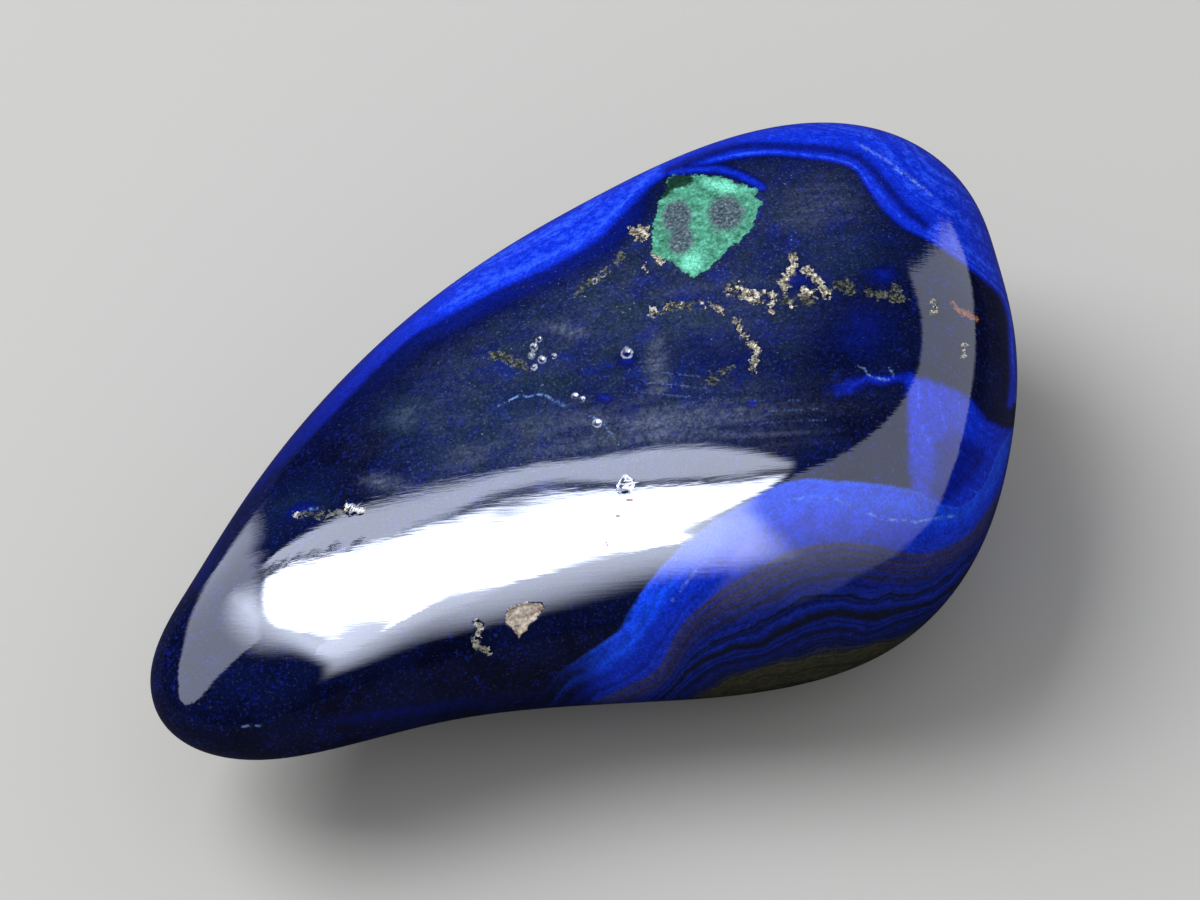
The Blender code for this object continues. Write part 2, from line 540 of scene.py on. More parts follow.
def fit_to_solid(points, whole):
    """Shifts and scales points, in mm, so that the whole stone fills the solid's box."""
    low, high = (np.array(corner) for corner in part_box(STONE_NODE))
    fitted = np.empty_like(points)
    for axis in (0, 1):
        start, end = whole[:, axis].min(), whole[:, axis].max()
        share = (points[:, axis] - start) / (end - start)
        fitted[:, axis] = blend(low[axis], high[axis], share)
    fitted[:, 2] = points[:, 2] * (high[2] / whole[:, 2].max())
    return fitted


def coordinates(mesh):
    return np.array([vert.co for vert in mesh.verts], float)


def nearest_mark(places):
    """Distance to the edge or line of the nearest small mark, in pixels."""
    depth = np.maximum(marks_depth(places, CREAM_MARKS), marks_depth(places, OLIVE_MARKS))
    pale = [(path, half_width) for path, half_width, strength in PALE_VEINS_AND_SCRATCH_SHEEN]
    depth = np.maximum(depth, marks_depth(places, pale))
    depth = np.maximum(depth, marks_depth(places, RUST_SPECKS + (ORANGE_STREAK,)))
    distance = np.maximum(-depth, 0)
    for away, radius, width in pit_rings(places):
        distance = np.minimum(distance, np.maximum(away - radius - width, 0))
    for outline in (MALACHITE, CHIP, DROPLET):
        distance = np.minimum(distance, path_distance(places, outline, closed=True))
    for line in (HEAD_RIM_LINE, HEAD_RIM_SHADOW, LINE_OVER_MALACHITE):
        distance = np.minimum(distance, np.maximum(path_distance(places, line) - RIM_LINE_REACH_PX, 0))
    return distance


def split_near_marks(mesh):
    """Splits triangles that face the main view next to a small mark."""
    whole = stone_points(coordinates(mesh))
    sight = np.array(view_axes()[2])
    for level in range(FINE_PASSES):
        mesh.verts.ensure_lookup_table()
        directions = coordinates(mesh)
        points = fit_to_solid(stone_points(directions), whole)
        places = picture_places(points)
        index = np.array([[vert.index for vert in face.verts] for face in mesh.faces])
        corners = points[index]
        facing = np.cross(corners[:, 1] - corners[:, 0], corners[:, 2] - corners[:, 0]) @ sight
        middles = places[index].mean(axis=1)
        reach = FINE_REACH_PX / (level + 1) + FINE_MARGIN_PX
        wanted = (facing > 0) & (nearest_mark(middles) < reach)
        mesh.faces.ensure_lookup_table()
        edges = {edge for k in np.where(wanted)[0] for edge in mesh.faces[k].edges}
        edges = sorted(edges, key=lambda edge: edge.index)
        bmesh.ops.subdivide_edges(mesh, edges=edges, cuts=1, use_grid_fill=True)
        odd = [face for face in mesh.faces if len(face.verts) > 3]
        bmesh.ops.triangulate(mesh, faces=odd)
        for vert in mesh.verts:
            vert.co.normalize()
        mesh.verts.index_update()
        mesh.edges.index_update()
        mesh.faces.index_update()
    return whole


def grind_foot(mesh):
    """Cuts the underside off flat at z = 0 and closes the cut with one face."""
    geometry = mesh.verts[:] + mesh.edges[:] + mesh.faces[:]
    cut = bmesh.ops.bisect_plane(
        mesh, geom=geometry, plane_co=(0, 0, 0), plane_no=(0, 0, 1), dist=1e-7, clear_inner=True
    )
    rim = [part for part in cut["geom_cut"] if isinstance(part, bmesh.types.BMEdge)]
    bmesh.ops.contextual_create(mesh, geom=rim)


def pit_depth(places):
    """How deep the small pits are below the polish, in mm."""
    depth = np.zeros(len(places))
    for away, radius, width in pit_rings(places):
        depth = np.maximum(depth, RING_PIT_DEPTH * smootherstep((radius + 0.5 - away) / radius))
    cream = marks_depth(places, CREAM_MARKS)
    depth = np.maximum(depth, CREAM_DEPTH * smootherstep(cream / CREAM_WALL_PX + 0.2))
    for outline, full_depth in (
        (MALACHITE, MALACHITE_DEPTH), (DROPLET, DROPLET_DEPTH), (CHIP, CHIP_DEPTH),
    ):
        depth = np.maximum(depth, full_depth * rise(patch_depth(places, outline), 0, HOLLOW_WALL_PX))
    return depth


def swell_height(places):
    """How far the polished surface stands out from the plain form, in mm."""
    height = np.zeros(len(places))
    for middle, radii, turn, top in SWELLS:
        height += top * np.exp(-oval(places, middle, radii, turn) ** 2)
    return height


def raise_surface(mesh, points, outwards, heights):
    """Puts each point in its place, moved out by its height in mm if it faces the main view."""
    sight = view_axes()[2]
    for vert, point, outward, height in zip(mesh.verts, points, outwards, heights):
        vert.co = point
        if outward.dot(sight) > LEAST_FACING:
            vert.co += outward * (height * MM)


def polish_of(mesh):
    """What mirroring needs of a surface: a tree to search, and each face's corners."""
    mesh.normal_update()
    corners = [[(vert.co.copy(), vert.normal.copy()) for vert in face.verts] for face in mesh.faces]
    return BVHTree.FromBMesh(mesh), corners


def mirrored(polish, pixels, height):
    """Where the polish mirrors pixels of the main view on a level plane, in mm."""
    tree, corners = polish
    right, up, back = view_axes()
    spots = []
    for x, y in pixels:
        across = (x - PICTURE_WIDTH / 2 - AIM_RIGHT_PX) / focal_pixels()
        down = (y - PICTURE_HEIGHT / 2 - AIM_DOWN_PX) / focal_pixels()
        sight = (right * across - up * down - back).normalized()
        place, _, face, _ = tree.ray_cast(CAMERA_PLACE, sight)
        ends, normals = zip(*corners[face])
        shares = poly_3d_calc(ends, place)
        normal = sum((n * share for n, share in zip(normals, shares)), Vector()).normalized()
        bounce = sight.reflect(normal)
        spot = place + bounce * ((height * MM - place.z) / bounce.z)
        spots.append((spot.x / MM, spot.y / MM))
    return spots


def make_stone():
    """The stone, and its polish before the small pits are sunk into it."""
    mesh = bmesh.new()
    bmesh.ops.create_icosphere(mesh, subdivisions=BALL_SUBDIVISIONS, radius=1.0)
    whole = split_near_marks(mesh)
    points = fit_to_solid(stone_points(coordinates(mesh)), whole)
    for vert, point in zip(mesh.verts, points):
        vert.co = point
    mesh.normal_update()
    outwards = [vert.normal.copy() for vert in mesh.verts]
    places = picture_places(points)
    swells = swell_height(places)
    raise_surface(mesh, points, outwards, swells)
    polish = polish_of(mesh)
    raise_surface(mesh, points, outwards, swells - pit_depth(places))
    grind_foot(mesh)
    bmesh.ops.recalc_face_normals(mesh, faces=mesh.faces)
    mesh.normal_update()

    data = bpy.data.meshes.new("polished_azurite")
    mesh.to_mesh(data)
    mesh.free()
    data.shade_smooth()
    data.set_sharp_from_angle(angle=SHARP_EDGE)
    stone = bpy.data.objects.new("polished_azurite", data)
    bpy.context.scene.collection.objects.link(stone)
    return stone, polish


# ---------------------------------------------------------------------------
# Where the minerals lie, kept on the mesh as one value a point
# ---------------------------------------------------------------------------


def rim_depth(places):
    """How far outside the inner edge of the blue rim each place is, in pixels."""
    hull = ((1100, 405), (1100, 0), (100, 0), (100, 590))
    outline = np.vstack([smooth_path(FAR_RIM_EDGE), smooth_path(HEAD_RIM_LINE), np.array(hull)])
    return patch_depth(places, outline)


def line_glow(places, line, strength, reach):
    """Strength of a soft line at each place."""
    return strength * soft(path_distance(places, smooth_path(line)), reach)


def rim_blue_and_light(places):
    """Brightness of the ultramarine round the rim, 0 to 1; on the far rim it is partly the stone's own blue
    and partly painted light where the rim faces the light from behind.
    """
    outer = rim_depth(places)
    head = rise(places[:, 0], *HEAD_STARTS)
    strength, reach, width = (blend(rim, top, head) for rim, top in zip(RIM_BAND, HEAD_BAND))
    band = strength * smootherstep((outer + reach) / width)
    band = np.maximum(band, (1 - head) * RIM_BLUSH * rise(outer, *RIM_BLUSH_EDGES))
    band *= 1 - line_glow(places, HEAD_RIM_SHADOW, *RIM_SHADOW_LOOK)
    line = line_glow(places, HEAD_RIM_LINE, *RIM_LINE_LOOK)
    band = np.maximum(band, line * rise(places[:, 0], *HEAD_LINE_STARTS))
    across, brightness = zip(*RIM_GLOW)
    band *= np.interp(places[:, 0], across, brightness)
    return np.maximum(band, line_glow(places, LINE_OVER_MALACHITE, *MALACHITE_LINE_LOOK))


def corner_blue(places):
    blue = CORNER_STRENGTH * rise(patch_depth(places, CORNER_BLUE), *CORNER_EDGES)
    blue *= 1 - WEDGE_STRENGTH * rise(patch_depth(places, CORNER_WEDGE), *WEDGE_EDGES)
    return np.maximum(blue, line_glow(places, BLUE_TONGUE, *TONGUE_LOOK))


def fan_layer(places):
    """Place among the fan's growth layers: 0 at its outer edge, more inwards."""
    hull = np.array(FAN_HULL)
    lines = [smooth_path(layer) for layer in FAN_LAYERS]
    last = len(lines) - 1
    passed = sum(inside(places, np.vstack([line, hull])).astype(int) for line in lines)
    distances = np.stack([path_distance(places, line) for line in lines])
    rows = np.arange(len(places))
    outwards = distances[np.clip(passed - 1, 0, last), rows]
    inwards = distances[np.clip(passed, 0, last), rows]
    layer = passed - 1 + outwards / (outwards + inwards)
    layer = np.where(passed == 0, -distances[0] / OUTER_LAYER_PX, layer)
    return np.where(passed > last, last + distances[-1] / OUTER_LAYER_PX, layer)


def patches(places, ovals):
    """Strength of the strongest of several soft ovals at each place."""
    value = np.zeros(len(places))
    for middle, radii, turn, strength in ovals:
        value = np.maximum(value, strength * soft(oval(places, middle, radii, turn), OVAL_REACH))
    return value


def even_ovals(ovals):
    """Ovals of full strength."""
    return [(middle, radii, turn, 1.0) for middle, radii, turn in ovals]


# Pale veins, and painted sheen along polishing scratches
def pale_veins_and_sheen(places):
    value = np.zeros(len(places))
    for path, half_width, strength in PALE_VEINS_AND_SCRATCH_SHEEN:
        value = np.maximum(value, strength * soft(path_distance(places, path), half_width * VEIN_REACH))
    return value


def mineral_values(points, facing):
    """Every value that the stone's material reads, by name, for each point."""
    places = picture_places(points)
    shown = facing > 0.0

    def mark(depth):
        depth = np.maximum(depth / PIXELS_PER_MM, FAR_OUTSIDE_MM)
        return np.where(shown, depth, FAR_OUTSIDE_MM)

    def in_view(strength):
        return np.where(shown, strength, 0.0)

    rings = np.full(len(places), FAR_OUTSIDE_PX)
    for away, radius, width in pit_rings(places):
        rings = np.maximum(rings, RING_SHARE * width - np.abs(away - radius))
    droplet = DROPLET_RIM_PX - path_distance(places, smooth_path(DROPLET, closed=True), closed=True)
    top_face = smootherstep(1.6 - 1.2 * oval(places, *TOP_FACE))
    top_face *= 1 - soft(oval(places, *CLEAR_FACE), 1.3)
    return {
        "rim_blue_and_light": np.maximum(rim_blue_and_light(places), corner_blue(places)),
        "rim_depth": rim_depth(places) / PIXELS_PER_MM,
        "face_blue": in_view(patches(places, BLUE_PATCHES)),
        "fan_layer": fan_layer(places),
        "fan_whole": rise(places[:, 0], *FAN_BROKEN),
        "fan_calm": rise(places[:, 0], *FAN_CALM),
        "malachite": mark(patch_depth(places, MALACHITE)),
        "malachite_eyes": patches(places, even_ovals(MALACHITE_EYES)),
        "malachite_mint": patches(places, even_ovals(MALACHITE_BRIGHT)),
        "malachite_painted_shade": patches(places, even_ovals(MALACHITE_PAINTED_SHADE)),
        "cream": mark(marks_depth(places, CREAM_MARKS)),
        "ring": mark(np.maximum(rings, droplet)),
        "olive": mark(marks_depth(places, OLIVE_MARKS)),
        "chip": mark(patch_depth(places, CHIP)),
        "pale": in_view(pale_veins_and_sheen(places)),
        "orange": mark(marks_depth(places, (ORANGE_STREAK,))),
        "rust": mark(marks_depth(places, RUST_SPECKS)),
        "smear_and_reflection": in_view(patches(places, DUST_SMEARS_AND_REFLECTIONS)),
        "top_face": in_view(top_face),
        "green_dust": in_view(patches(places, GREEN_DUST)),
    }


def store_minerals(stone):
    data = stone.data
    count = len(data.vertices)
    points = np.empty(count * 3, np.float32)
    data.vertices.foreach_get("co", points)
    points = points.reshape(-1, 3).astype(float)
    normals = np.array([vert.normal for vert in data.vertices], float)
    facing = normals @ np.array(view_axes()[2])
    for name, values in mineral_values(points, facing).items():
        attribute = data.attributes.new(name, "FLOAT", "POINT")
        attribute.data.foreach_set("value", values.astype(np.float32))


# ---------------------------------------------------------------------------
# Material helpers
# ---------------------------------------------------------------------------


def add(tree, kind, settings=None, inputs=None):
    """A new node with its settings, and its inputs set or linked."""
    made = tree.nodes.new(kind)
    for name, value in (settings or {}).items():
        setattr(made, name, value)
    for name, value in (inputs or {}).items():
        socket = made.inputs[name]
        if isinstance(value, bpy.types.NodeSocket):
            tree.links.new(value, socket)
        else:
            socket.default_value = value
    return made


def math_node(tree, operation, first, second):
    return add(tree, "ShaderNodeMath", {"operation": operation}, {0: first, 1: second}).outputs[0]


def times(tree, first, second):
    return math_node(tree, "MULTIPLY", first, second)


def plus(tree, first, second):
    return math_node(tree, "ADD", first, second)


def most(tree, *values):
    """The largest of several values."""
    result = values[0]
    for value in values[1:]:
        result = math_node(tree, "MAXIMUM", result, value)
    return result


def fade(tree, value, start, end, low=0.0, high=1.0):
    """A smooth change from low to high as the value goes from start to end."""
    made = add(
        tree,
        "ShaderNodeMapRange",
        {"interpolation_type": "SMOOTHSTEP"},
        {"Value": value, "From Min": start, "From Max": end, "To Min": low, "To Max": high},
    )
    return made.outputs["Result"]


def mix_colour(tree, share, first, second, how="MIX"):
    made = add(tree, "ShaderNodeMix", {"data_type": "RGBA", "blend_type": how})
    for index, value in ((0, share), (6, first), (7, second)):
        socket = made.inputs[index]
        if isinstance(value, bpy.types.NodeSocket):
            tree.links.new(value, socket)
        elif index == 0:
            socket.default_value = value
        else:
            socket.default_value = (*value, 1.0)
    return made.outputs[2]


def mix_value(tree, share, first, second):
    made = add(tree, "ShaderNodeMix", {"data_type": "FLOAT"}, {0: share, 2: first, 3: second})
    return made.outputs[0]


def noise(tree, place, scale, detail=3.0, roughness=0.55):
    inputs = {"Vector": place, "Scale": scale, "Detail": detail, "Roughness": roughness}
    return add(tree, "ShaderNodeTexNoise", {"noise_dimensions": "3D"}, inputs).outputs["Fac"]


def value_of(tree, name):
    return add(tree, "ShaderNodeAttribute", {"attribute_name": name}).outputs["Fac"]


def ramp(tree, value, stops):
    """A colour that changes through stops of (position, colour)."""
    made = add(tree, "ShaderNodeValToRGB", None, {0: value})
    elements = made.color_ramp.elements
    while len(elements) < len(stops):
        elements.new(0.5)
    for element, (position, colour) in zip(elements, stops):
        element.position = position
        element.color = (*colour, 1.0)
    return made.outputs["Color"]


def new_group(name, inputs, outputs):
    """An empty node group with named sockets; gives its tree and its inputs."""
    tree = bpy.data.node_groups.new(name, "ShaderNodeTree")
    for label, kind in inputs:
        tree.interface.new_socket(name=label, in_out="INPUT", socket_type=kind)
    for label, kind in outputs:
        tree.interface.new_socket(name=label, in_out="OUTPUT", socket_type=kind)
    return tree, add(tree, "NodeGroupInput").outputs


def put_group(tree, group, inputs):
    return add(tree, "ShaderNodeGroup", {"node_tree": group}, inputs).outputs


FLOAT = "NodeSocketFloat"
VECTOR = "NodeSocketVector"


# ---------------------------------------------------------------------------
# Effects that several minerals share
# ---------------------------------------------------------------------------

# How dark a streak can get beside its layer's own colour
LEAST_STREAK = 0.05
# Scratches are this much finer across than along
SCRATCH_STRETCH = (0.03, 1.0, 1.0)


def specks_group():
    """Scattered grains: a mask that is 1 where fine noise is above a level."""
    inputs = (("Place", VECTOR), ("Scale", FLOAT), ("Level", FLOAT), ("Softness", FLOAT))
    tree, given = new_group("specks", inputs, (("Mask", FLOAT),))
    grain = noise(tree, given["Place"], given["Scale"], 2.0, 0.6)
    end = plus(tree, given["Level"], given["Softness"])
    mask = fade(tree, grain, given["Level"], end)
    add(tree, "NodeGroupOutput", None, {"Mask": mask})
    return tree


def ragged_mark_group():
    """Turns a depth inside a mark, in mm, into a mask with a crystalline edge."""
    inputs = (
        ("Depth", FLOAT), ("Place", VECTOR), ("Scale", FLOAT), ("Raggedness", FLOAT), ("Softness", FLOAT),
    )
    tree, given = new_group("ragged_mark", inputs, (("Mask", FLOAT),))
    grain = noise(tree, given["Place"], given["Scale"], 3.0, 0.7)
    wander = times(tree, math_node(tree, "SUBTRACT", grain, 0.5), given["Raggedness"])
    depth = plus(tree, given["Depth"], wander)
    mask = fade(tree, depth, times(tree, given["Softness"], -1.0), given["Softness"])
    add(tree, "NodeGroupOutput", None, {"Mask": mask})
    return tree


def growth_layers_group():
    """Wavy growth layers: the layer number with a sway, and the light and dark of its streaks."""
    inputs = (
        ("Layer", FLOAT), ("Place", VECTOR), ("Sway", FLOAT), ("Sway Scale", FLOAT),
        ("Streaks", FLOAT), ("Contrast", FLOAT),
    )
    outputs = (("Layer", FLOAT), ("Streak", FLOAT))
    tree, given = new_group("growth_layers", inputs, outputs)
    wander = noise(tree, given["Place"], given["Sway Scale"], 3.0, 0.5)
    sway = times(tree, math_node(tree, "SUBTRACT", wander, 0.5), given["Sway"])
    layer = plus(tree, given["Layer"], sway)
    fine = add(
        tree,
        "ShaderNodeTexNoise",
        {"noise_dimensions": "1D"},
        {"W": layer, "Scale": given["Streaks"], "Detail": 2.0, "Roughness": 0.5},
    ).outputs["Fac"]
    swing = times(tree, math_node(tree, "SUBTRACT", fine, 0.5), given["Contrast"])
    streak = plus(tree, times(tree, swing, 4.0), 1.0)
    streak = most(tree, streak, LEAST_STREAK)
    add(tree, "NodeGroupOutput", None, {"Layer": layer, "Streak": streak})
    return tree


def scratches_group():
    """Fine parallel scratches of the polish: a height, and where they are dull."""
    inputs = (("Place", VECTOR), ("Turn", FLOAT), ("Fineness", FLOAT))
    tree, given = new_group("polish_scratches", inputs, (("Height", FLOAT), ("Dull", FLOAT)))
    turned = add(
        tree,
        "ShaderNodeVectorRotate",
        {"rotation_type": "Z_AXIS"},
        {"Vector": given["Place"], "Angle": given["Turn"]},
    ).outputs[0]
    drawn = add(
        tree, "ShaderNodeVectorMath", {"operation": "MULTIPLY"}, {0: turned, 1: SCRATCH_STRETCH}
    ).outputs[0]
    lines = noise(tree, drawn, given["Fineness"], 2.0, 0.6)
    dull = fade(tree, lines, 0.55, 0.75)
    add(tree, "NodeGroupOutput", None, {"Height": lines, "Dull": dull})
    return tree


def specks(tree, place, effects, scale, level, softness):
    inputs = {"Place": place, "Scale": scale, "Level": level, "Softness": softness}
    return put_group(tree, effects["specks"], inputs)["Mask"]


def ragged(tree, place, effects, depth, scale, raggedness, softness):
    inputs = {
        "Depth": depth, "Place": place, "Scale": scale, "Raggedness": raggedness, "Softness": softness,
    }
    return put_group(tree, effects["ragged_mark"], inputs)["Mask"]


def layers(tree, place, effects, layer, sway, sway_scale, streaks, contrast):
    inputs = {
        "Layer": layer, "Place": place, "Sway": sway, "Sway Scale": sway_scale, "Streaks": streaks,
        "Contrast": contrast,
    }
    return put_group(tree, effects["growth_layers"], inputs)


def scratches(tree, place, effects, fineness):
    inputs = {"Place": place, "Turn": POLISH_TURN, "Fineness": fineness}
    return put_group(tree, effects["scratches"], inputs)


# ---------------------------------------------------------------------------
# The stone's material
# ---------------------------------------------------------------------------

NAVY_BLACK = (0.0006, 0.0016, 0.0140)
NAVY = (0.0042, 0.0110, 0.0760)
GRAIN_BLUE = (0.003, 0.008, 0.130)
SPARK_BLUE = (0.006, 0.02, 0.42)
BLOTCH_BLUE = (0.003, 0.012, 0.170)
BLOTCH_GREEN = (0.006, 0.016, 0.026)
BRIGHT_BLUE = (0.0035, 0.0260, 0.580)
LIGHT_BLUE = (0.0200, 0.0750, 0.820)
BROWN_GREY = (0.034, 0.030, 0.056)
BLUE_DUST = (0.050, 0.075, 0.150)
PALE_DUST = (0.30, 0.34, 0.42)
DUST_AND_REFLECTION_GREY = (0.082, 0.102, 0.168)
MOTTLE = (0.018, 0.028, 0.056)
GREEN_GREY = (0.010, 0.028, 0.050)
PALE_VEIN_AND_SHEEN = (0.22, 0.40, 0.95)
ORANGE = (0.40, 0.14, 0.06)
RUST = (0.10, 0.006, 0.004)
DARK_PIT = (0.002, 0.004, 0.010)
WEATHERED_CREAM = (0.080, 0.075, 0.058)
MINT = (0.165, 0.640, 0.480)
PAINTED_SHADE_GREEN = (0.002, 0.016, 0.008)

# Scattered grains: scale, the level of noise that they start from, and their softness
GRAINS = (4200.0, 0.50, 0.16)
SPARKS = (3300.0, 0.66, 0.05)
DUST = (7000.0, 0.60, 0.12)
PINPOINTS = (5200.0, 0.72, 0.03)
# Growth layers: sway and its scale, streaks and their contrast
RIM_LAYERS = (0.8, 240.0, 2.6, 0.16)
SMOOTH_LAYERS = (0.5, 330.0, 5.0, 0.55)
WAVY_LAYERS = (620.0, 15.0, 0.50)
MOST_SWAY = 0.40
# Edge of each mark: scale of its crystals, how ragged they make it and how soft it is
OLIVE_EDGE = (2600.0, 1.2, 0.06)
RING_EDGE = (4200.0, 0.20, 0.02)
HALO_OF_CREAM_EDGE = (2600.0, 0.75, 0.12)
CREAM_EDGE = (2700.0, 1.25, 0.03)
CHIP_EDGE = (2200.0, 0.55, 0.03)
ORANGE_EDGE = (3400.0, 0.8, 0.08)
RUST_EDGE = (4000.0, 0.05, 0.03)
MALACHITE_EDGE = (3300.0, 0.55, 0.03)
FAN_EDGE = (900.0, 0.05, 0.05)
# How much of the colour below each one hides
OLIVE_COVER = 0.85
HALO_OF_CREAM_COVER = 0.6
ORANGE_COVER = 0.7

# Small crystals seen one by one: dark gaps, a body colour and pale edges
OLIVE_CRUMBS = ((0.004, 0.007, 0.010), (0.018, 0.022, 0.014), (0.13, 0.14, 0.11))
CREAM_CRUMBS = ((0.020, 0.016, 0.012), (0.20, 0.175, 0.125), (0.72, 0.71, 0.62))
CHIP_CRUMBS = ((0.13, 0.085, 0.06), (0.36, 0.28, 0.20), (0.50, 0.43, 0.35))
CRUMB_LEVELS = (0.38, 0.48, 0.62)

MALACHITE_STOPS = (
    (0.34, (0.020, 0.120, 0.075)), (0.50, (0.055, 0.255, 0.170)), (0.68, (0.110, 0.440, 0.330)),
)
EYE_STOPS = (
    (0.36, (0.016, 0.026, 0.050)), (0.52, (0.062, 0.083, 0.122)), (0.68, (0.20, 0.24, 0.27)),
)

RIM_STOPS = (
    (0.0, NAVY_BLACK), (0.20, (0.0008, 0.0040, 0.070)), (0.45, (0.0016, 0.0090, 0.24)),
    (0.85, BRIGHT_BLUE), (1.0, LIGHT_BLUE),
)

# Colour of each growth layer of the fan, by layer number
FAN_STOPS = (
    (0.00, (0.016, 0.090, 0.84)), (0.06, (0.006, 0.048, 0.70)), (0.25, (0.006, 0.060, 0.76)),
    (0.50, (0.004, 0.030, 0.60)), (0.82, (0.006, 0.028, 0.46)), (0.88, BROWN_GREY),
    (0.94, (0.012, 0.022, 0.22)), (0.99, BROWN_GREY), (1.05, (0.014, 0.020, 0.17)), (1.10, BROWN_GREY),
    (1.15, (0.010, 0.018, 0.20)), (1.20, (0.024, 0.023, 0.060)), (1.27, (0.007, 0.018, 0.20)),
    (1.36, (0.012, 0.013, 0.05)), (1.46, (0.004, 0.014, 0.20)), (1.60, (0.004, 0.016, 0.24)),
    (1.67, (0.003, 0.006, 0.030)),
    (1.75, (0.003, 0.011, 0.14)), (1.88, (0.003, 0.014, 0.22)), (1.95, (0.003, 0.005, 0.020)),
    (2.06, (0.003, 0.005, 0.020)), (2.14, (0.003, 0.012, 0.17)), (2.32, (0.002, 0.010, 0.15)),
    (2.42, (0.002, 0.005, 0.030)), (2.54, (0.002, 0.008, 0.11)), (2.80, (0.004, 0.008, 0.05)),
    (2.97, (0.028, 0.029, 0.016)), (3.40, (0.026, 0.026, 0.015)), (3.75, (0.005, 0.006, 0.009)),
)
MOST_LAYERS = 4.0
POLISH_TURN = math.radians(28.0)

AZURITE_IOR = 1.75
# Roughness of the polish, and what each finish adds to it
POLISH_ROUGHNESS = 0.04
MINERAL_ROUGHNESS = 0.24
SMEAR_ROUGHNESS = 0.04
RUST_ROUGHNESS = 0.6
SCRATCH_ROUGHNESS = 0.03
OLIVE_ROUGHNESS = 0.12
# Height of the finest relief, in metres, and how it is shared out
RELIEF_HEIGHT = 0.0000008
CRYSTAL_SHARE = 14.0
SCRATCH_SHARE = 4.0


def dark_face(tree, place, effects):
    """Navy-black azurite with blue grains and pale pinpoints."""
    cloud = noise(tree, place, 300.0, 4.0)
    wander = noise(tree, place, 950.0, 3.0)
    open_face = times(tree, value_of(tree, "top_face"), 0.75)
    cloudy = plus(tree, fade(tree, cloud, 0.36, 0.66, 0.0, 0.30), open_face)
    colour = mix_colour(tree, math_node(tree, "MINIMUM", cloudy, 1.0), NAVY_BLACK, NAVY)
    grains = specks(tree, place, effects, *GRAINS)
    grains = times(tree, grains, fade(tree, wander, 0.40, 0.66, 0.10, 0.9))
    colour = mix_colour(tree, grains, colour, GRAIN_BLUE)
    sparks = specks(tree, place, effects, *SPARKS)
    lively = fade(tree, value_of(tree, "top_face"), 0.0, 1.0, 0.12, 0.9)
    colour = mix_colour(tree, times(tree, sparks, lively), colour, SPARK_BLUE)
    mottled = fade(tree, noise(tree, place, 620.0, 5.0, 0.75), 0.40, 0.62, 0.10, 0.85)
    colour = mix_colour(tree, times(tree, mottled, open_face), colour, MOTTLE)
    blotch = noise(tree, place, 760.0, 3.0, 0.6)
    bluer = times(tree, fade(tree, blotch, 0.52, 0.66, 0.0, 0.75), open_face)
    colour = mix_colour(tree, bluer, colour, BLOTCH_BLUE)
    greener = times(tree, fade(tree, blotch, 0.47, 0.36, 0.0, 0.70), open_face)
    colour = mix_colour(tree, greener, colour, BLOTCH_GREEN)
    dust = specks(tree, place, effects, *DUST)
    dusty = fade(tree, value_of(tree, "top_face"), 0.0, 1.0, 0.16, 0.55)
    return mix_colour(tree, times(tree, dust, dusty), colour, BLUE_DUST)


def add_ultramarine(tree, place, effects, colour):
    """The bright blue of the rim, the right corner and the patches in the face; on the far rim it is partly
    painted light.
    """
    blue = most(tree, value_of(tree, "rim_blue_and_light"), value_of(tree, "face_blue"))
    streak = layers(tree, place, effects, value_of(tree, "rim_depth"), *RIM_LAYERS)["Streak"]
    mottle = fade(tree, noise(tree, place, 2400.0, 4.0, 0.65), 0.25, 0.75, 0.86, 1.14)
    blue = times(tree, blue, times(tree, streak, mottle))
    return mix_colour(tree, fade(tree, blue, 0.02, 0.26), colour, ramp(tree, blue, RIM_STOPS))


def add_fan(tree, place, effects, colour):
    """The fan of blue and brown growth layers at the near right."""
    layer = value_of(tree, "fan_layer")
    deeper = fade(tree, layer, 0.7, 1.5)
    wavy = layers(tree, place, effects, layer, times(tree, deeper, MOST_SWAY), *WAVY_LAYERS)
    smooth = layers(tree, place, effects, layer, *SMOOTH_LAYERS)
    fan = ramp(
        tree,
        math_node(tree, "DIVIDE", wavy["Layer"], MOST_LAYERS),
        tuple((number / MOST_LAYERS, stop) for number, stop in FAN_STOPS),
    )
    calm = value_of(tree, "fan_calm")
    mottle = fade(tree, noise(tree, place, 1500.0, 4.0, 0.65), 0.25, 0.75, 0.72, 1.22)
    shade = mix_value(tree, calm, smooth["Streak"], 1.0)
    shade = mix_value(tree, deeper, shade, wavy["Streak"])
    shade = times(tree, shade, fade(tree, value_of(tree, "fan_whole"), 0.5, 1.0, 0.32, 1.0))
    fan = mix_colour(tree, 1.0, fan, times(tree, shade, mottle), "MULTIPLY")
    edge = ragged(tree, place, effects, layer, *FAN_EDGE)
    frayed = times(tree, math_node(tree, "SUBTRACT", smooth["Streak"], 1.0), 0.6)
    whole = plus(tree, value_of(tree, "fan_whole"), frayed)
    edge = times(tree, edge, fade(tree, whole, 0.15, 0.75))
    return mix_colour(tree, edge, colour, fan)


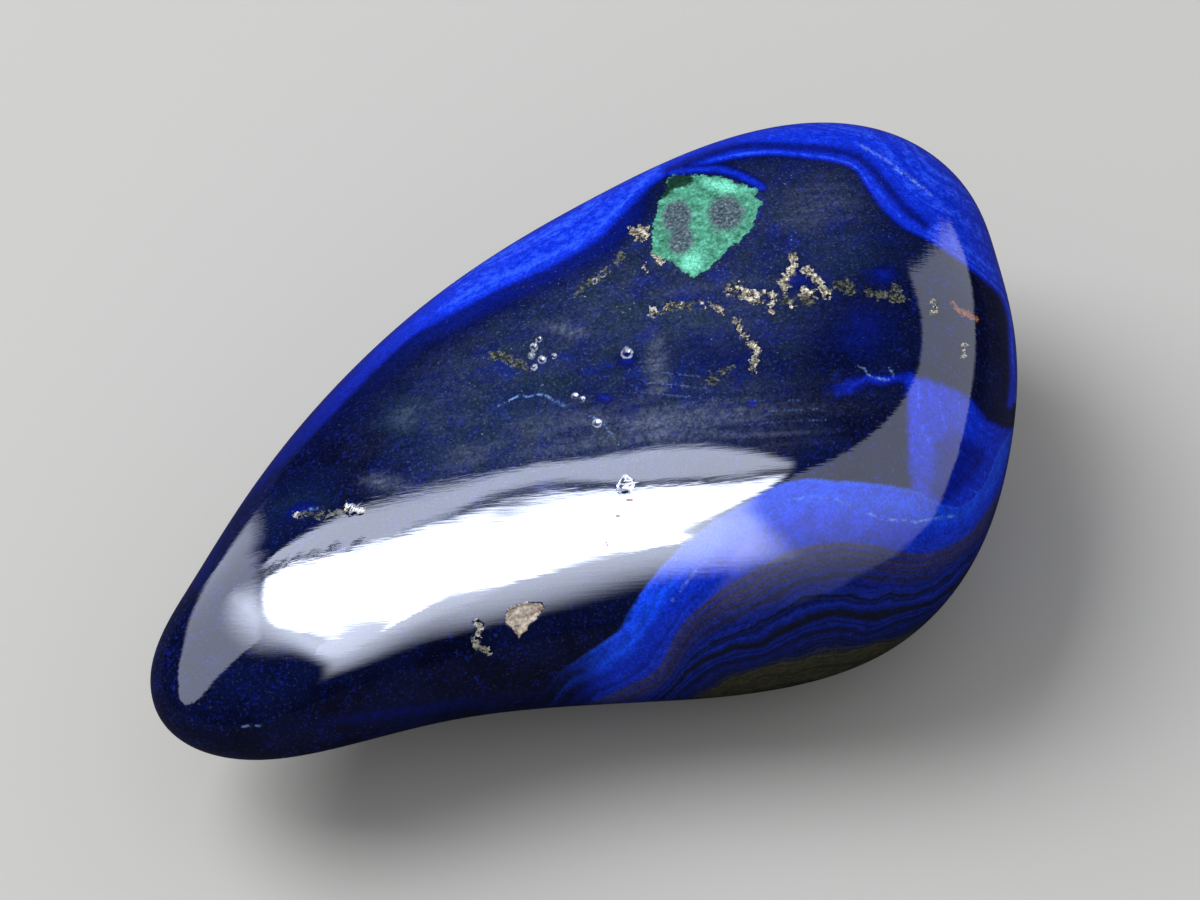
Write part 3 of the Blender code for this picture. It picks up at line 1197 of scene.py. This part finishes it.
def malachite_colour(tree, place):
    """Mint and deep green, with speckled grey eyes and painted shade at the upper left of its hollow."""
    green = ramp(tree, noise(tree, place, 2300.0, 5.0, 0.7), MALACHITE_STOPS)
    clouds = fade(tree, noise(tree, place, 3600.0), 0.3, 0.6, 0.45, 1.1)
    mint = times(tree, value_of(tree, "malachite_mint"), clouds)
    green = mix_colour(tree, fade(tree, mint, 0.12, 0.80, 0.0, 0.9), green, MINT)
    fine = noise(tree, place, 6500.0, 3.0, 0.7)
    uneven = math_node(tree, "SUBTRACT", fine, 0.5)
    eye = plus(tree, value_of(tree, "malachite_eyes"), times(tree, uneven, 0.8))
    eye = fade(tree, eye, 0.08, 0.34, 0.0, 0.92)
    green = mix_colour(tree, eye, green, ramp(tree, fine, EYE_STOPS))
    # Painted shade at the upper left of the hollow
    shade = plus(tree, value_of(tree, "malachite_painted_shade"), times(tree, uneven, 0.5))
    return mix_colour(tree, fade(tree, shade, 0.10, 0.40, 0.0, 0.95), green, PAINTED_SHADE_GREEN)


def crumb_colour(tree, place, scale, tones):
    """Small crystals in their dark, body and pale tones."""
    return ramp(tree, noise(tree, place, scale, 3.0, 0.75), tuple(zip(CRUMB_LEVELS, tones)))


def azurite_material():
    material = bpy.data.materials.new("azurite")
    material.use_nodes = True
    tree = material.node_tree
    shader = tree.nodes["Principled BSDF"]
    place = add(tree, "ShaderNodeTexCoord").outputs["Object"]
    effects = {
        "specks": specks_group(),
        "ragged_mark": ragged_mark_group(),
        "growth_layers": growth_layers_group(),
        "scratches": scratches_group(),
    }

    def mask(name, edge):
        return ragged(tree, place, effects, value_of(tree, name), *edge)

    colour = dark_face(tree, place, effects)
    brushed = fade(tree, noise(tree, place, 3000.0, 4.0, 0.75), 0.32, 0.68, 0.35, 1.45)
    green_dust = times(tree, value_of(tree, "green_dust"), brushed)
    colour = mix_colour(tree, green_dust, colour, GREEN_GREY)
    colour = add_ultramarine(tree, place, effects, colour)
    colour = add_fan(tree, place, effects, colour)
    pinpoints = specks(tree, place, effects, *PINPOINTS)
    crowd = fade(tree, value_of(tree, "top_face"), 0.0, 1.0, 0.12, 0.6)
    colour = mix_colour(tree, times(tree, pinpoints, crowd), colour, PALE_DUST)

    polish_lines = scratches(tree, place, effects, 5200.0)
    # Smears of dust and painted reflection of light in the polish, in grey, streaked along the scratches
    scratch_streaked = scratches(tree, place, effects, 1700.0)["Height"]
    scratch_streaked = times(tree, brushed, fade(tree, scratch_streaked, 0.36, 0.64, 0.45, 1.5))
    smear_and_reflection = times(tree, value_of(tree, "smear_and_reflection"), scratch_streaked)
    colour = mix_colour(tree, smear_and_reflection, colour, DUST_AND_REFLECTION_GREY)
    # Pale veins, and painted sheen where light catches the polishing scratches
    broken = fade(tree, noise(tree, place, 2800.0, 3.0, 0.7), 0.42, 0.58, 0.0, 1.1)
    colour = mix_colour(tree, times(tree, value_of(tree, "pale"), broken), colour, PALE_VEIN_AND_SHEEN)

    olive = times(tree, mask("olive", OLIVE_EDGE), OLIVE_COVER)
    colour = mix_colour(tree, olive, colour, crumb_colour(tree, place, 5200.0, OLIVE_CRUMBS))
    ring = mask("ring", RING_EDGE)
    ring_tone = fade(tree, noise(tree, place, 2200.0, 2.0), 0.38, 0.60, 0.10, 0.85)
    colour = mix_colour(tree, times(tree, ring, ring_tone), colour, PALE_DUST)
    halo = times(tree, mask("cream", HALO_OF_CREAM_EDGE), HALO_OF_CREAM_COVER)
    colour = mix_colour(tree, halo, colour, DARK_PIT)
    cream = mask("cream", CREAM_EDGE)
    weathered = fade(tree, noise(tree, place, 1500.0, 2.0), 0.42, 0.64, 0.0, 0.6)
    crumbs = crumb_colour(tree, place, 5600.0, CREAM_CRUMBS)
    crumbs = mix_colour(tree, weathered, crumbs, WEATHERED_CREAM)
    colour = mix_colour(tree, cream, colour, crumbs)
    chip = mask("chip", CHIP_EDGE)
    colour = mix_colour(tree, chip, colour, crumb_colour(tree, place, 2400.0, CHIP_CRUMBS))
    orange = times(tree, mask("orange", ORANGE_EDGE), ORANGE_COVER)
    colour = mix_colour(tree, orange, colour, ORANGE)
    rust = mask("rust", RUST_EDGE)
    colour = mix_colour(tree, rust, colour, RUST)
    malachite = mask("malachite", MALACHITE_EDGE)
    colour = mix_colour(tree, malachite, colour, malachite_colour(tree, place))
    grain = fade(tree, noise(tree, place, 7000.0, 3.0, 0.8), 0.32, 0.68, 0.60, 1.45)
    colour = mix_colour(tree, 1.0, colour, grain, "MULTIPLY")
    tree.links.new(colour, shader.inputs["Base Color"])

    mineral = most(tree, malachite, cream, chip, times(tree, ring, 0.5))
    rough = POLISH_ROUGHNESS
    for finish, roughness in (
        (mineral, MINERAL_ROUGHNESS), (smear_and_reflection, SMEAR_ROUGHNESS), (rust, RUST_ROUGHNESS),
        (polish_lines["Dull"], SCRATCH_ROUGHNESS), (olive, OLIVE_ROUGHNESS),
    ):
        rough = plus(tree, times(tree, finish, roughness), rough)
    tree.links.new(rough, shader.inputs["Roughness"])

    crystals = times(tree, noise(tree, place, 4200.0, 3.0, 0.7), CRYSTAL_SHARE)
    lines = times(tree, polish_lines["Height"], SCRATCH_SHARE)
    height = plus(tree, times(tree, mineral, crystals), lines)
    bump = add(
        tree, "ShaderNodeBump", None, {"Strength": 1.0, "Distance": RELIEF_HEIGHT, "Height": height}
    )
    tree.links.new(bump.outputs["Normal"], shader.inputs["Normal"])
    shader.inputs["IOR"].default_value = AZURITE_IOR
    return material


# ---------------------------------------------------------------------------
# Table, lights and world
# ---------------------------------------------------------------------------

# The window that the polish mirrors: a flat sheet over the stone. Its far edge is drawn
# where it shows in the main view, in pixels, and its other corners are in mm
WINDOW_HEIGHT = 36.0
WINDOW_FAR_EDGE = (
    (295, 560), (325, 553), (365, 542), (405, 530), (440, 517), (480, 505), (540, 488), (590, 487),
    (625, 486), (665, 483), (705, 481), (740, 478), (765, 474), (797, 471),
)
WINDOW_CORNERS = (
    (0, -11.8), (-4, -13), (-8, -15), (-12.2, -17.8), (-13, -20.5), (-15, -22), (-16.5, -20.7),
    (-16.1, -17.5), (-16.8, -13), (-18, -8), (-18.9, -3.6), (-20.4, 1.8), (-22.9, 5.6), (-24.5, 9),
    (-24.3, 13), (-23.2, 19), (-22, 26.5),
)
WINDOW_GLOW = 16.0
WINDOW_EDGE = 1.2
WINDOW_SPACING = 0.3
# Softer light on the near side of the window
HALO_HEIGHT = 36.3
HALO = (
    (-24, 40), (-15, 12), (-11, -1), (-8, -7), (0, -9), (2, -13), (-3, -19), (-6, -30), (-8, -45),
    (-9, -72), (-44, -72), (-33, -42), (-28, -25), (-29, -13), (-30.5, -4), (-32, 4), (-32, 20),
    (-30, 40),
)
HALO_GLOW = 8.8
HALO_EDGE = 11.0
HALO_FADE = ((-24, -72), (-17, 5))
HALO_SPACING = 1.0
# A dimmer ledge on the window's far side: out along its own far edge and back beside the
# window, in pixels, then its other corners in mm
LEDGE_EDGES = (
    (300, 535), (330, 518), (360, 503), (400, 490), (430, 480), (470, 472), (500, 467), (530, 462),
    (590, 455), (650, 444), (710, 442), (765, 450), (800, 460),
    (797, 471), (765, 477), (740, 482), (710, 483), (670, 485), (625, 488), (580, 488), (500, 501),
    (460, 515), (400, 538), (340, 568),
)
LEDGE_CORNERS = ((-20, 17), (-22, 27), (-22, 36), (-19, 38))
LEDGE_GLOW = 5.4
LEDGE_EDGE = 1.8
LEDGE_SPACING = 0.5
# A pale card folded round the near and the right side: mm along the fold, mm up
NEAR_CARD_Y = -30.0
RIGHT_CARD_X = 60.0
RIGHT_CARD = (
    (-10, 1), (-12.5, 12), (-13.5, 25), (-15, 37), (-19, 48), (-24, 62), (-30, 80), (-36, 98),
    (-36, 190), (60, 280), (66, 250), (70, 200), (76, 160), (79, 140), (82, 115), (85, 95), (88, 80),
    (92, 68), (97, 64), (102, 62), (112, 60), (108, 50), (105, 38), (103, 24), (100, 20), (93, 22),
    (88, 24), (78, 24.5), (60, 25.5), (50, 22), (40, 20), (30, 16), (24, 13.5), (12, 12), (5, 11),
    (3, 9), (-3, 7), (-8, 3),
)
RIGHT_CARD_GLOW = 1.25
RIGHT_CARD_FADE = ((-4, -2), (10, 38))
# Another one folded round the far and the left side
FAR_CARD_Y = 30.0
LEFT_CARD_X = -60.0
LEFT_CARD = (
    (-18, 12), (-20, 10), (-22.5, 9.5), (-27, 15), (-33, 21), (-38, 26), (-45, 30.5), (-52, 33),
    (-60, 36), (-70, 31), (-78, 24), (-82, 21), (-88, 20), (-91, 30), (-91, 38), (-88, 48), (-85, 58),
    (-81, 68), (-77, 80), (-73, 90), (-68, 102), (-62, 114), (-60, 118), (-55, 113), (-48, 104),
    (-43, 95), (-38, 83), (-34, 74), (-30, 64), (-26, 51), (-22.5, 40.5), (-20, 30), (-18.5, 21),
    (-17.5, 13),
)
LEFT_CARD_GLOW = 2.2
CARD_EDGE = 1.2
CARD_SPACING = 1.2
COOL_WHITE = (0.90, 0.98, 1.20, 1.0)

SOFT_LAMP_PLACE = Vector((-0.25, 0.32, 0.55))
SOFT_LAMP_SIZE = 0.45
SOFT_LAMP_POWER = 5.4


def glow_material(name):
    """Light whose strength is kept on the sheet itself."""
    material = bpy.data.materials.new(name)
    material.use_nodes = True
    tree = material.node_tree
    tree.nodes.clear()
    strength = value_of(tree, "glow")
    shine = add(tree, "ShaderNodeEmission", None, {"Color": COOL_WHITE, "Strength": strength})
    clear = add(tree, "ShaderNodeBsdfTransparent")
    both = add(tree, "ShaderNodeAddShader", None, {0: shine.outputs[0], 1: clear.outputs[0]})
    out = add(tree, "ShaderNodeOutputMaterial")
    tree.links.new(both.outputs[0], out.inputs["Surface"])
    return material


def finish_sheet(name, mesh, glow):
    """Makes a glowing sheet that shows only in the polish."""
    data = bpy.data.meshes.new(name)
    mesh.to_mesh(data)
    mesh.free()
    data.attributes.new("glow", "FLOAT", "POINT").data.foreach_set("value", glow)
    data.materials.append(glow_material(name))
    sheet = bpy.data.objects.new(name, data)
    bpy.context.scene.collection.objects.link(sheet)
    sheet.visible_camera = False
    sheet.visible_diffuse = False
    sheet.visible_shadow = False


def make_soft_sheet(name, outline, spacing, strength, edge, put, fade_in=None):
    """A sheet whose light fades towards its outline; put gives each point's place in the room."""
    outline = np.array(outline, float)
    low, high = outline.min(axis=0), outline.max(axis=0)
    across, up = (np.arange(low[k], high[k] + spacing, spacing) for k in (0, 1))
    spots = np.array([(x, y) for y in up for x in across])
    glow = strength * smootherstep(patch_depth(spots, outline) / edge)
    if fade_in is not None:
        start, way = np.array(fade_in[0]), np.subtract(fade_in[1], fade_in[0])
        glow *= smootherstep((spots - start) @ way / (way @ way))
    mesh = bmesh.new()
    verts = [mesh.verts.new(put(x, y)) for x, y in spots]
    for row in range(len(up) - 1):
        for column in range(len(across) - 1):
            first = row * len(across) + column
            corners = (first, first + 1, first + len(across) + 1, first + len(across))
            if max(glow[k] for k in corners) > 0:
                mesh.faces.new([verts[k] for k in corners])
    finish_sheet(name, mesh, glow.astype(np.float32))


def in_window(x, y):
    return Vector((x, y, WINDOW_HEIGHT)) * MM


def in_halo(x, y):
    return Vector((x, y, HALO_HEIGHT)) * MM


def on_right_card(along, up):
    past = max(along - RIGHT_CARD_X, 0.0)
    return Vector((along - past, NEAR_CARD_Y + past, up)) * MM


def on_left_card(along, up):
    past = max(LEFT_CARD_X - along, 0.0)
    return Vector((along + past, FAR_CARD_Y - past, up)) * MM


def make_soft_lamp():
    """The large lamp that lights the stone and the table evenly."""
    data = bpy.data.lights.new("soft_lamp", "AREA")
    data.size = SOFT_LAMP_SIZE
    data.energy = SOFT_LAMP_POWER
    lamp = bpy.data.objects.new("soft_lamp", data)
    bpy.context.scene.collection.objects.link(lamp)
    lamp.location = SOFT_LAMP_PLACE
    lamp.rotation_euler = SOFT_LAMP_PLACE.to_track_quat("Z", "Y").to_euler()
    lamp.visible_glossy = False
    lamp.visible_camera = False


TABLE_WIDTH = 6.0
TABLE_DROP = 0.02
TABLE_COLOUR = (0.42, 0.42, 0.415, 1.0)
TABLE_IN_POLISH = (0.024, 0.024, 0.028, 1.0)
ROOM_LIGHT = 0.63
ROOM_IN_POLISH = 0.014


def seen_in_polish(tree, plain, in_polish, out_kind):
    """Shows one shader directly and another one in the stone's polish."""
    ray = add(tree, "ShaderNodeLightPath")
    mix = add(tree, "ShaderNodeMixShader", None, {0: ray.outputs["Is Glossy Ray"], 1: plain, 2: in_polish})
    out = add(tree, out_kind)
    tree.links.new(mix.outputs[0], out.inputs["Surface"])


def make_table():
    bpy.ops.mesh.primitive_plane_add(size=TABLE_WIDTH, location=(0, 0, -TABLE_DROP * MM))
    table = bpy.context.object
    table.name = "pale_table"
    material = bpy.data.materials.new("pale_table")
    material.use_nodes = True
    tree = material.node_tree
    tree.nodes.clear()
    pale = add(tree, "ShaderNodeBsdfDiffuse", None, {"Color": TABLE_COLOUR}).outputs[0]
    dim = add(tree, "ShaderNodeBsdfDiffuse", None, {"Color": TABLE_IN_POLISH}).outputs[0]
    seen_in_polish(tree, pale, dim, "ShaderNodeOutputMaterial")
    table.data.materials.append(material)


def make_world():
    world = bpy.data.worlds.new("room")
    bpy.context.scene.world = world
    world.use_nodes = True
    tree = world.node_tree
    tree.nodes.clear()
    room = add(tree, "ShaderNodeBackground", None, {"Strength": ROOM_LIGHT}).outputs[0]
    dark = add(tree, "ShaderNodeBackground", None, {"Strength": ROOM_IN_POLISH}).outputs[0]
    for background in (room, dark):
        background.node.inputs["Color"].default_value = (1.0, 1.0, 1.0, 1.0)
    seen_in_polish(tree, room, dark, "ShaderNodeOutputWorld")


# ---------------------------------------------------------------------------
# Making it all
# ---------------------------------------------------------------------------

make_camera()
stone, polish = make_stone()
store_minerals(stone)
stone.data.materials.append(azurite_material())
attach(stone, "root")
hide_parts(STONE_NODE)
make_table()
make_world()
window = (*mirrored(polish, WINDOW_FAR_EDGE, WINDOW_HEIGHT), *WINDOW_CORNERS)
make_soft_sheet("window", window, WINDOW_SPACING, WINDOW_GLOW, WINDOW_EDGE, in_window)
make_soft_sheet("halo", HALO, HALO_SPACING, HALO_GLOW, HALO_EDGE, in_halo, HALO_FADE)
ledge = (*mirrored(polish, LEDGE_EDGES, HALO_HEIGHT), *LEDGE_CORNERS)
make_soft_sheet("ledge", ledge, LEDGE_SPACING, LEDGE_GLOW, LEDGE_EDGE, in_halo)
make_soft_sheet(
    "right_card", RIGHT_CARD, CARD_SPACING, RIGHT_CARD_GLOW, CARD_EDGE, on_right_card, RIGHT_CARD_FADE
)
make_soft_sheet("left_card", LEFT_CARD, CARD_SPACING, LEFT_CARD_GLOW, CARD_EDGE, on_left_card)
make_soft_lamp()
bpy.context.scene.view_settings.view_transform = "Standard"
